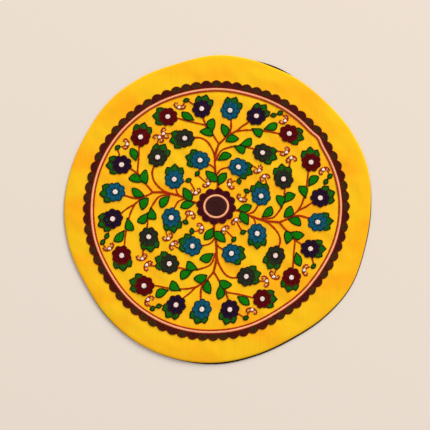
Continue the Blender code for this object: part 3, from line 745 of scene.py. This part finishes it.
class PadMaker:
    """Gathers low closed pads, which lie under the rows of thread, each in its own colour, painted darker as shade
    under dark threads.
    """

    def __init__(self):
        self.points = []
        self.faces = []
        self.slots = []
        self.threads = []

    def gather(self, levels, faces, thread):
        """Adds lines at their heights over the cloth, and the faces between their points."""
        first = len(self.points)
        for line, lift in levels:
            self.points += list(place_on_cover(line, lift))
        self.faces += [tuple(first + corner for corner in face) for face in faces]
        if thread not in self.threads:
            self.threads.append(thread)
        self.slots += [self.threads.index(thread)] * len(faces)

    def add(self, outline, thread, height=PAD_HEIGHT, step=PAD_STEP):
        """A pad over an outline that can be seen whole from its middle."""
        rim = even_loop(outline, step)
        if not runs_anticlockwise(rim):
            rim = rim[::-1]
        middle = rim.mean(0)
        arms = rim - middle
        top = middle + arms * np.maximum(SMALLEST_TOP, 1 - PAD_SLOPE / np.hypot(*arms.T)[:, None])
        count = len(rim)
        faces = []
        for low in range(count):
            after = (low + 1) % count
            faces += [(low, after, after + count, low + count), (low + count, after + count, 2 * count + 1)]
            faces.append((after, low, 2 * count))
        middle = middle[None, :]
        self.gather(((rim, -PAD_SUNK), (top, height), (middle, -PAD_SUNK), (middle, height)), faces, thread)

    def add_strip(self, line, inner, outer, thread, height, closed, slope=PAD_SLOPE):
        """A pad along a line, between two distances to its left."""
        left, count = leftwards(line, closed), len(line)
        faces = []
        for part in range(4):
            start, end = part * count, (part + 1) % 4 * count
            for index in range(count if closed else count - 1):
                after = (index + 1) % count
                faces.append((start + index, end + index, end + after, start + after))
        if not closed:
            corners = range(0, 4 * count, count)
            faces += [tuple(reversed(corners)), tuple(corner + count - 1 for corner in corners)]
        sides = ((inner, -PAD_SUNK), (inner + slope, height), (outer - slope, height), (outer, -PAD_SUNK))
        self.gather([(line + left * offset, lift) for offset, lift in sides], faces, thread)

    def finish(self, name):
        materials = [thread_material(thread, padding=True) for thread in self.threads]
        piece = link_object(name, new_mesh(name, self.points, self.faces, materials, self.slots))
        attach(piece, BODY)


class RowMaker:
    """Gathers the rows of thread of one colour."""

    def __init__(self):
        self.points = []
        self.edges = []
        self.widths = []

    def add(self, line, closed, lift, width=1.0):
        first, count = len(self.points), len(line)
        if count < 2:
            return
        self.points += list(place_on_cover(line, lift))
        self.widths += [width] * count
        self.edges += [(first + index, first + index + 1) for index in range(count - 1)]
        if closed:
            self.edges.append((first + count - 1, first))


def chain_link_mesh():
    """One chain stitch, a unit long, wide and high: two strands that part, swell and meet again."""
    centre_line = ((-0.6, 0.04), (-0.2, 0.24), (0.3, 0.26), (0.64, 0.08))
    half_wide, half_high, end_height = 0.25, 0.5, -0.2
    points, faces = [], []
    for side in (-1, 1):
        first = len(points)
        points.append((centre_line[0][0], centre_line[0][1] * side, end_height))
        for along, across in centre_line[1:3]:
            points += [
                (along, across * side, half_high),
                (along, across * side + half_wide, 0.0),
                (along, across * side, -half_high),
                (along, across * side - half_wide, 0.0),
            ]
        points.append((centre_line[3][0], centre_line[3][1] * side, end_height))
        for corner in range(4):
            after = (corner + 1) % 4
            near, near_after = first + 1 + corner, first + 1 + after
            faces.append((first, near, near_after))
            faces.append((near, near + 4, near_after + 4, near_after))
            faces.append((first + 9, near_after + 4, near + 4))
    return new_mesh("chain_link", points, faces, [])


def chain_stitch_tree():
    """Geometry Nodes that lay chain stitches along rows."""
    tree = bpy.data.node_groups.new("Chain stitch", "GeometryNodeTree")
    tree.is_modifier = True
    sockets = {"Rows": "Geometry", "Stitch": "Object", "Thread": "Material", "Seed": "Int"}
    sockets |= dict.fromkeys(SIZE_SOCKETS, "Float")
    for name, kind in sockets.items():
        tree.interface.new_socket(name, in_out="INPUT", socket_type=f"NodeSocket{kind}")
    tree.interface.new_socket("Stitches", in_out="OUTPUT", socket_type="NodeSocketGeometry")
    given = tree.nodes.new("NodeGroupInput").outputs
    lines = add_node(tree, "GeometryNodeMeshToCurve", {"Mesh": given["Rows"]})
    inputs = {"Curve": lines, "Length": given["Stitch length"]}
    stops = add_node(tree, "GeometryNodeResampleCurve", inputs, mode="LENGTH")
    along = add_node(tree, "GeometryNodeInputTangent", {})
    turn = add_node(tree, "FunctionNodeAlignRotationToVector", {"Vector": along}, axis="X", pivot_axis="Z")
    row_width = add_node(tree, "GeometryNodeInputNamedAttribute", {"Name": "row_width"}, data_type="FLOAT")
    least = calculated(tree, "SUBTRACT", 1.0, given["Unevenness"])
    most = calculated(tree, "ADD", 1.0, given["Unevenness"])
    inputs = {2: least, 3: most, "Seed": given["Seed"]}
    uneven = add_node(tree, "FunctionNodeRandomValue", inputs, 1, data_type="FLOAT")
    length = calculated(tree, "MULTIPLY", given["Stitch length"], LINK_OVERLAP)
    width = calculated(tree, "MULTIPLY", calculated(tree, "MULTIPLY", given["Stitch width"], uneven), row_width)
    height = calculated(tree, "MULTIPLY", given["Stitch height"], uneven)
    scale = add_node(tree, "ShaderNodeCombineXYZ", {0: length, 1: width, 2: height})
    stitch = add_node(tree, "GeometryNodeObjectInfo", {"Object": given["Stitch"]}, "Geometry")
    inputs = {"Points": stops, "Instance": stitch, "Rotation": turn, "Scale": scale}
    laid = add_node(tree, "GeometryNodeInstanceOnPoints", inputs)
    real = add_node(tree, "GeometryNodeRealizeInstances", {"Geometry": laid})
    coloured = add_node(tree, "GeometryNodeSetMaterial", {"Geometry": real, "Material": given["Thread"]})
    tree.links.new(coloured, tree.nodes.new("NodeGroupOutput").inputs["Stitches"])
    return tree


def stitch_rows(name, rows, thread, seed_step):
    """Makes one piece from rows of thread, and sees to it that it is a plain mesh."""
    sizes = bpy.context.scene.cover_sizes
    link = bpy.data.objects.get("chain_link_source")
    if link is None:
        link = link_object("chain_link_source", chain_link_mesh())
        link.hide_render = True
    mesh = bpy.data.meshes.new(f"{name}_rows")
    mesh.from_pydata([tuple(point) for point in rows.points], rows.edges, [])
    mesh.attributes.new("row_width", "FLOAT", "POINT").data.foreach_set("value", rows.widths)
    piece = link_object(name, mesh)
    modifier = piece.modifiers.new("Chain stitch", "NODES")
    modifier.node_group = bpy.data.node_groups.get("Chain stitch") or chain_stitch_tree()
    sockets = modifier.node_group.interface.items_tree
    identifiers = {socket.name: socket.identifier for socket in sockets if socket.in_out == "INPUT"}
    values = {"Stitch": link, "Thread": thread_material(thread), "Seed": sizes.seed + seed_step}
    values |= {socket: getattr(sizes, socket.lower().replace(" ", "_")) for socket in SIZE_SOCKETS}
    for socket, value in values.items():
        modifier[identifiers[socket]] = value
    made = bpy.data.meshes.new_from_object(piece.evaluated_get(bpy.context.evaluated_depsgraph_get()))
    piece.modifiers.clear()
    piece.data = made
    bpy.data.meshes.remove(mesh)
    if not made.polygons:
        raise RuntimeError(f"{name} came out without stitches")
    made.shade_smooth()
    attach(piece, BODY)


def new_work(*threads):
    """What gathers the padding, and the rows of each thread."""
    return PadMaker(), {thread: RowMaker() for thread in threads}


def finish_work(name, pads, rows, row_name, seed_step):
    """Makes one piece of the padding, and one of each thread's rows."""
    pads.finish(name)
    for step, (thread, made) in enumerate(rows.items()):
        stitch_rows(row_name.format(thread), made, thread, seed_step + step)


def ripple_mm():
    return bpy.context.scene.cover_sizes.ripple_height / MM


def pitch_mm():
    return bpy.context.scene.cover_sizes.row_pitch / MM


def rows_inside(outline, first_inset, count):
    """Closed rows inside an outline, from the outside in, a pitch apart."""
    loops = [inset_loop(outline, first_inset + index * pitch_mm()) for index in range(count)]
    return [loop for loop in loops if len(loop) >= FEWEST_POINTS]


def add_scallops(scallops, centre, base_radius, pads, rows, stretch=1.0):
    """Scallops around a round line, with dark red edge rows and rows of their own colour inside."""
    shares = np.linspace(0.0, 1.0, BOW_POINTS)
    bulge = np.sin(np.pi * shares) ** scallops.fullness
    width = FULL_TURN / scallops.count
    for index in range(scallops.count):
        angles = scallops.start + (index + shares) * width
        outer = direction(angles) * (base_radius(angles) + scallops.outer + scallops.depth * bulge)[:, None]
        inner = direction(angles) * (base_radius(angles) + scallops.inner)[:, None]
        outline = centre + even_loop(np.vstack((outer, inner[::-1])) * stretch)
        thread = scallops.threads[index % len(scallops.threads)]
        pads.add(outline, "scallop_edge")
        for depth, inset in enumerate(scallops.insets):
            row = rows[thread if depth >= scallops.edge_rows else "scallop_edge"]
            row.add(inset_loop(outline, inset), True, LOW_ROWS)
        middle = outline.mean(0)
        tangent = np.array((middle[1] - centre[1], centre[0] - middle[0]))
        tangent = tangent / np.hypot(*tangent) * SCALLOP_CORE
        rows[thread].add(np.array((middle - tangent, middle, middle + tangent)), False, LOW_ROWS)


def no_radius(angle):
    return np.zeros(np.shape(angle))


class COVER_OT_back_cloth(bpy.types.Operator):
    """Makes the near-black back, a flat round of cotton on the floor"""

    bl_idname = "cover.back_cloth"
    bl_label = "Back cloth"

    def execute(self, context):
        points, faces = round_sheet(
            back_radius,
            BACK_RINGS,
            BACK_TURN,
            lambda at: np.full(len(at), BACK_THICKNESS),
            lambda at: np.zeros(len(at)),
        )
        piece = link_object("back_cloth", new_mesh("back_cloth", points, faces, [cotton_back()]))
        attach(piece, BODY)
        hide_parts("back_panel")
        return {"FINISHED"}


class COVER_OT_front_cloth(bpy.types.Operator):
    """Makes the yellow front, with its crown, the border's puckers and its turned edge"""

    bl_idname = "cover.front_cloth"
    bl_label = "Front cloth"

    def execute(self, context):
        ripple = ripple_mm()
        points, faces = round_sheet(
            front_radius,
            FRONT_RINGS,
            FRONT_TURN,
            lambda at: cloth_height(at, ripple),
            lambda at: cloth_height(at, 0.0) - FRONT_THICKNESS,
        )
        piece = link_object("front_cloth", new_mesh("front_cloth", points, faces, [cotton_front()]))
        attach(piece, BODY)
        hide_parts("front_panel")
        return {"FINISHED"}


class COVER_OT_ring(bpy.types.Operator):
    """Makes the scalloped ring with its peach and red lines"""

    bl_idname = "cover.ring"
    bl_label = "Ring"

    def execute(self, context):
        pads, rows = new_work("plum", "moss", "scallop_edge", "peach", "red")
        add_scallops(RING_SCALLOPS, RING_MIDDLE, ring_line, pads, rows)

        def line(offset, step):
            angles = np.arange(0, FULL_TURN, step)
            return RING_MIDDLE + direction(angles) * (ring_line(angles) + offset)[:, None]

        for thread, inner, outer, higher in RING_STRIPS:
            pads.add_strip(line(0.0, RING_PAD_STEP), inner, outer, thread, PAD_HEIGHT + higher, True)
        for thread, offset, width in RING_ROWS:
            rows[thread].add(line(offset, RING_ROW_STEP), True, LOW_ROWS, width)
        finish_work("ring_padding", pads, rows, "ring_{}_rows", seed_step=0)
        return {"FINISHED"}


class COVER_OT_rosette(bpy.types.Operator):
    """Makes the rosette in the middle"""

    bl_idname = "cover.rosette"
    bl_label = "Rosette"

    def execute(self, context):
        pads, rows = new_work("wine", "scallop_edge", "peach", "brown")
        add_scallops(ROSETTE_SCALLOPS, ROSETTE_MIDDLE, no_radius, pads, rows, ROSETTE_STRETCH)
        pads.add(rosette_line(ROSETTE_DISC), "brown")
        for thread, radius, inner, outer, higher in ROSETTE_STRIPS:
            pads.add_strip(rosette_line(radius), inner, outer, thread, PAD_HEIGHT + higher, True)
        for thread, radius, width, higher in ROSETTE_ROWS:
            rows[thread].add(rosette_line(radius), True, LOW_ROWS + higher, width)
        radius = ROSETTE_DISC - DISC_INSET
        while radius > SMALLEST_ROUND:
            rows["brown"].add(rosette_line(radius), True, LOW_ROWS)
            radius -= pitch_mm()
        finish_work("rosette_padding", pads, rows, "rosette_{}_rows", seed_step=10)
        return {"FINISHED"}


def leaf_outlines():
    """The outlines of one branch's leaves, large and small."""
    outlines = [leaf_outline(*row) for row in LEAVES]
    for middle, turn in TINY_LEAVES:
        reach = direction(turn) * TINY_LEAF_LENGTH / 2
        outlines.append(leaf_outline(middle - reach, middle + reach, TINY_LEAF_WIDTH))
    return outlines


def sepal_outlines():
    """The outlines of a flower's three sepals, the middle one last, round a flower at zero."""
    outlines = []
    for turn, reach in SEPALS:
        base, tip = direction(turn) * SEPAL_BASE, direction(turn) * reach
        outlines.append(leaf_outline(base, tip, SEPAL_WIDTH, fullest=SEPAL_FULLEST, fullness=1.0))
    return outlines


class COVER_OT_leaves(bpy.types.Operator):
    """Makes the leaves of the branches and the flowers' sepals"""

    bl_idname = "cover.leaves"
    bl_label = "Leaves"

    def execute(self, context):
        pads, rows = new_work("leaf", "sepal", "leaf_edge")
        leaves = []
        for index, outline in enumerate(leaf_outlines()):
            thread = "leaf" if index < len(LEAVES) else "sepal"
            leaves.append((thread, outline, rows_inside(outline, LEAF_INSET, LEAF_ROWS)))
        petals = inset_loop(petal_outline(), SEPALS_UNDER_PETALS)
        sepals = sepal_outlines()
        sepal_rows = []
        for outline in sepals:
            covers = [petals] if outline is sepals[-1] else [petals, inset_loop(sepals[-1], SEPAL_OVERLAP)]
            for depth, loop in enumerate(rows_inside(outline, LEAF_INSET, LEAF_ROWS)):
                start = int(np.argmin(np.hypot(*loop.T)))
                for run in open_runs(np.roll(loop, -start, axis=0), covers):
                    sepal_rows.append(("sepal" if depth else "leaf_edge", run))
        for branch in range(BRANCH_COUNT):
            for thread, outline, loops in leaves:
                pads.add(placed(branch, outline), thread)
                for depth, loop in enumerate(loops):
                    width = 1.0 if depth else LEAF_EDGE_WIDTH
                    rows[thread if depth else "leaf_edge"].add(placed(branch, loop), True, LOW_ROWS, width)
            for _, middle, turn in FLOWERS:
                for index, outline in enumerate(sepals):
                    height = PAD_HEIGHT - SEPAL_PADS_LOWER + NEXT_SEPAL_HIGHER * index
                    pads.add(placed(branch, middle + turned(outline, turn)), "sepal", height)
                for thread, run in sepal_rows:
                    width = 1.0 if thread == "sepal" else SEPAL_EDGE_WIDTH
                    rows[thread].add(placed(branch, middle + turned(run, turn)), False, LOW_ROWS, width)
        finish_work("leaf_padding", pads, rows, "{}_rows", seed_step=20)
        return {"FINISHED"}


class COVER_OT_flowers(bpy.types.Operator):
    """Makes the flowers: rows of their own colour, dark edges and a cream middle"""

    bl_idname = "cover.flowers"
    bl_label = "Flowers"

    def execute(self, context):
        pads, rows = new_work(*FLOWER_EDGES, "ink", "outline", "maroon_edge", "cream")
        petals = petal_outline()
        loops = rows_inside(petals, PETAL_INSET, PETAL_ROWS)
        random = np.random.RandomState(FLOWER_SEED)
        for branch in range(BRANCH_COUNT):
            for thread, middle, turn in FLOWERS:
                twist = random.uniform(-FLOWER_TURN, FLOWER_TURN)
                longer = (1.0, random.uniform(*FLOWER_STRETCH))

                def here(points):
                    return placed(branch, middle + turned(turned(points, twist) * longer, turn))

                edge = FLOWER_EDGES[thread]
                pads.add(here(petals), thread, PAD_HEIGHT + PETAL_PADS_HIGHER)
                disc = here(circle(CENTRE_PAD_RADIUS))
                pads.add(disc, "cream", PAD_HEIGHT + CENTRE_PADS_HIGHER, CENTRE_PAD_STEP)
                rows[edge].add(here(loops[0]), True, HIGH_ROWS, PETAL_EDGE_WIDTH)
                for loop in loops[1:]:
                    rows[thread].add(here(loop), True, HIGH_ROWS)
                rows[edge].add(here(circle(CENTRE_RIM)), True, TOP_ROWS, CENTRE_RIM_WIDTH)
                for petal in range(PETAL_COUNT):
                    notch = direction(petal * FULL_TURN / PETAL_COUNT)
                    rows[edge].add(here(notch * np.linspace(*NOTCH_LINE)[:, None]), False, TOP_ROWS)
                for radius in CENTRE_ROWS:
                    rows["cream"].add(here(circle(radius)), True, TOP_ROWS + CENTRE_ROWS_HIGHER)
        finish_work("flower_padding", pads, rows, "flower_{}_rows", seed_step=30)
        return {"FINISHED"}


class COVER_OT_stems(bpy.types.Operator):
    """Makes the stems and the curled buds"""

    bl_idname = "cover.stems"
    bl_label = "Stems and buds"

    def execute(self, context):
        pads, rows = new_work("stem", "bud_edge", "peach", "cream")
        petals = inset_loop(petal_outline(), STEMS_UNDER_PETALS)
        covers = [inset_loop(outline, STEMS_UNDER_LEAVES) for outline in leaf_outlines()]
        for _, middle, turn in FLOWERS:
            sepals = [inset_loop(outline, STEMS_UNDER_LEAVES) for outline in sepal_outlines()]
            covers += [turned(outline, turn) + middle for outline in (petals, *sepals)]
        lines = []
        for width, points in (*STEMS, *((BUD_STEM_WIDTH, points) for _, _, points in BUDS)):
            lines += [("stem", run, width) for run in open_runs(along_curve(points), covers)]
        for knot, opens, _ in BUDS:
            back, aside = direction(opens), direction(opens + FULL_TURN / 4)
            for side in (-1, 1):
                for thread, hook, width in HOOK_ROWS:
                    line = along_curve(np.array(hook) * (1, side))
                    lines.append((thread, knot + line[:, :1] * back + line[:, 1:] * aside, width))
        for branch in range(BRANCH_COUNT):
            for thread, line, width in lines:
                laid = placed(branch, line)
                rows[thread].add(laid, False, LOW_ROWS - STEM_ROWS_LOWER, width * STEM_FULLNESS)
                if thread == "stem":
                    half = width * STEM_PAD_WIDTH / 2
                    height = PAD_HEIGHT - STEM_PADS_LOWER
                    pads.add_strip(laid[::2], -half, half, thread, height, False, STEM_SLOPE)
            for bud in BUDS:
                knot = placed(branch, bud[0])
                pads.add(knot + circle(KNOT_PAD_RADIUS), "cream", PAD_HEIGHT + KNOT_PADS_HIGHER, KNOT_PAD_STEP)
                for thread, radius, height, width in KNOT_ROWS:
                    rows[thread].add(knot + circle(radius), True, height, width)
        finish_work("stem_padding", pads, rows, "branch_{}_rows", seed_step=40)
        return {"FINISHED"}


class COVER_OT_stage(bpy.types.Operator):
    """Makes the floor, the lights and the camera"""

    bl_idname = "cover.stage"
    bl_label = "Stage"

    def execute(self, context):
        scene = context.scene
        mesh = bpy.data.meshes.new("floor")
        corners = [(x * FLOOR_REACH, y * FLOOR_REACH, 0) for x, y in ((-1, -1), (1, -1), (1, 1), (-1, 1))]
        mesh.from_pydata(corners, [], [(0, 1, 2, 3)])
        floor = link_object("floor", mesh)
        material, _, shader, _ = new_material("matt pale paint", roughness=0.95, sheen=0.0, specular=0.1)
        shader["Base Color"].default_value = (*linear_colour(FLOOR_COLOUR), 1.0)
        mesh.materials.append(material)
        floor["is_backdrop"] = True

        world = bpy.data.worlds.new("studio")
        world.use_nodes = True
        sky = world.node_tree.nodes["Background"].inputs
        sky["Color"].default_value = (*SKY_COLOUR, 1.0)
        sky["Strength"].default_value = SKY_STRENGTH
        scene.world = world

        lamp = bpy.data.lights.new("softbox", "AREA")
        lamp.shape = "SQUARE"
        lamp.size = LAMP_SIZE
        lamp.energy = LAMP_ENERGY
        lamp.color = LAMP_COLOUR
        softbox = link_object("softbox", lamp)
        softbox.location = LAMP_PLACE
        softbox.rotation_mode = "QUATERNION"
        softbox.rotation_quaternion = (-softbox.location).to_track_quat("-Z", "Y")

        view = bpy.data.cameras.new("camera")
        view.sensor_width = SENSOR_WIDTH
        view.lens = SENSOR_WIDTH * (CAMERA_HEIGHT - FACE_HEIGHT) / (FRAME_PIXELS * PIXEL_SIZE * MM)
        camera = link_object("camera", view)
        middle = FRAME_PIXELS / 2
        camera.location = (
            ((middle - COVER_PIXEL[0]) * PIXEL_SIZE - SHIFT[0]) * MM,
            ((COVER_PIXEL[1] - middle) * PIXEL_SIZE - SHIFT[1]) * MM,
            CAMERA_HEIGHT,
        )
        scene.camera = camera
        scene.view_settings.view_transform = "Standard"
        scene.view_settings.look = "None"
        return {"FINISHED"}


class COVER_PT_panel(bpy.types.Panel):
    """Lists the cover's pieces and settings"""

    bl_idname = "COVER_PT_panel"
    bl_label = "Cushion cover"
    bl_space_type = "VIEW_3D"
    bl_region_type = "UI"
    bl_category = "Cover"

    def draw(self, context):
        for group in (context.scene.cover_sizes, context.scene.cover_colours):
            for name in group.__annotations__:
                self.layout.prop(group, name)
        for operator in OPERATORS:
            self.layout.operator(operator.bl_idname)


OPERATORS = (
    COVER_OT_back_cloth,
    COVER_OT_front_cloth,
    COVER_OT_ring,
    COVER_OT_rosette,
    COVER_OT_leaves,
    COVER_OT_flowers,
    COVER_OT_stems,
    COVER_OT_stage,
)
CLASSES = (CoverSizes, CoverColours, *OPERATORS, COVER_PT_panel)


def register():
    for cls in CLASSES:
        bpy.utils.register_class(cls)
    bpy.types.Scene.cover_sizes = PointerProperty(type=CoverSizes)
    bpy.types.Scene.cover_colours = PointerProperty(type=CoverColours)


def unregister():
    del bpy.types.Scene.cover_colours
    del bpy.types.Scene.cover_sizes
    for cls in reversed(CLASSES):
        bpy.utils.unregister_class(cls)


def declare_cloths():
    """Works out the edge radii of both cloths at every spoke, and the thread work that goes with the front, but uses
    neither.
    """
    thread_work = [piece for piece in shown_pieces() if piece.name not in ("front_cloth", "back_cloth")]
    angles = np.arange(SPOKES) * FULL_TURN / SPOKES
    for name, radius_at, rests_on, pieces in (
        ("back_cloth", back_radius, (), ()),
        ("front_cloth", front_radius, ("back_cloth",), thread_work),
    ):
        radii = radius_at(angles)


def main():
    register()
    for operator in OPERATORS:
        area, name = operator.bl_idname.split(".")
        getattr(getattr(bpy.ops, area), name)()
    link = bpy.data.objects["chain_link_source"]
    link_mesh = link.data
    bpy.data.objects.remove(link)
    bpy.data.meshes.remove(link_mesh)
    declare_cloths()


if __name__ == "__main__":
    main()
